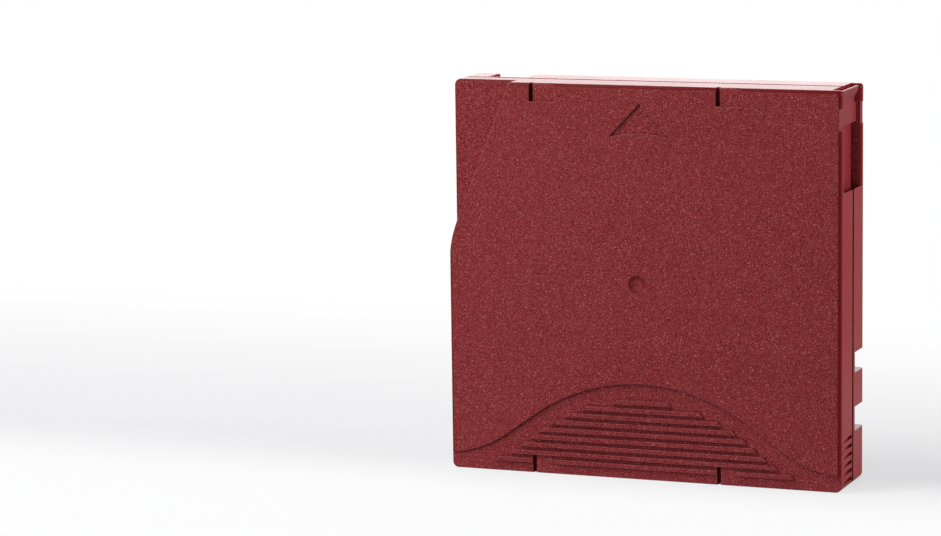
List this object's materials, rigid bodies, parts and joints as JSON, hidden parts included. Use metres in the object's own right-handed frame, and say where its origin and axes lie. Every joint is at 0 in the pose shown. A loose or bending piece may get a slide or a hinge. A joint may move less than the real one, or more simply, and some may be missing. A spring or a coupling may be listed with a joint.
{
  "type": "data tape cartridge",
  "caption": "Flat square red plastic tape cartridge with a cut-back leading corner, sliding side door, finger grip and a sprung, locked single reel inside.",
  "frame": {"origin": "Middle of the rear edge, under the middle of the bounding box.", "axes": "+Z is the direction the cartridge is pushed into a drive, -Y the labelled face, +Y the drive face, +X the door side."},
  "size_m": [0.1054, 0.0216, 0.102],
  "materials": {
    "upper_shell": "fine-textured dark red ABS with pale flecks",
    "lower_shell": "fine-textured dark red ABS",
    "screw_steel": "zinc plated steel",
    "door": "smooth dark red acetal",
    "spring_steel": "spring steel wire",
    "reel_resin": "off-white glass-filled resin",
    "flange_resin": "off-white resin",
    "plate_steel": "stamped stainless steel",
    "brake_resin": "white acetal",
    "brake_spring_steel": "spring steel wire",
    "pad_resin": "dark acetal",
    "tape": "wound magnetic tape, near black",
    "tape_end": "magnetic tape, near black",
    "pin_steel": "turned stainless steel",
    "clamp_resin": "black resin",
    "clip_steel": "thin spring steel strip",
    "tab_resin": "smooth dark red resin",
    "board": "green coated laminate",
    "copper": "copper antenna track",
    "chip_resin": "black sealing resin"
  },
  "bodies": {
    "case": {"upper_shell": "upper_shell", "lower_shell": "lower_shell", "case_screws": "screw_steel", "door_spring": "spring_steel", "brake_spring": "brake_spring_steel", "tape_leader": "tape_end", "leader_pin": "pin_steel", "pin_clamp": "clamp_resin", "pin_retaining_spring": "clip_steel", "memory_board": "board", "memory_coil": "copper", "memory_chip": "chip_resin"},
    "door": {"slide_door": "door"},
    "write_tab": {"write_protect_tab": "tab_resin"},
    "reel": {"reel_hub": "reel_resin", "reel_flange": "flange_resin", "clutch_plate": "plate_steel", "tape_pack": "tape"},
    "pad": {"release_pad": "pad_resin"},
    "brake": {"reel_brake": "brake_resin"}
  },
  "joints": [
    {"name": "door_slide", "type": "slide", "parent": "case", "child": "door", "axis": [0, 0, -1], "range_m": [0, 0.016], "stiffness_N_per_m": 20, "springref_m": -0.03, "deforming": ["door_spring"]},
    {"name": "write_tab_slide", "type": "slide", "parent": "case", "child": "write_tab", "axis": [1, 0, 0], "range_m": [0, 0.003]},
    {"name": "reel_spin", "type": "hinge", "parent": "case", "child": "reel", "pos_m": [-0.0012, 0, 0.051], "axis": [0, 1, 0], "continuous": true},
    {"name": "pad_lift", "type": "slide", "parent": "reel", "child": "pad", "axis": [0, -1, 0], "range_m": [0, 0.0016]},
    {"name": "brake_lift", "type": "slide", "parent": "case", "child": "brake", "axis": [0, -1, 0], "range_m": [0, 0.0016], "stiffness_N_per_m": 400, "springref_m": -0.005, "deforming": ["brake_spring"]}
  ],
  "couplings": [
    {"joint": "pad_lift", "follows": "brake_lift", "ratio": 1}
  ]
}
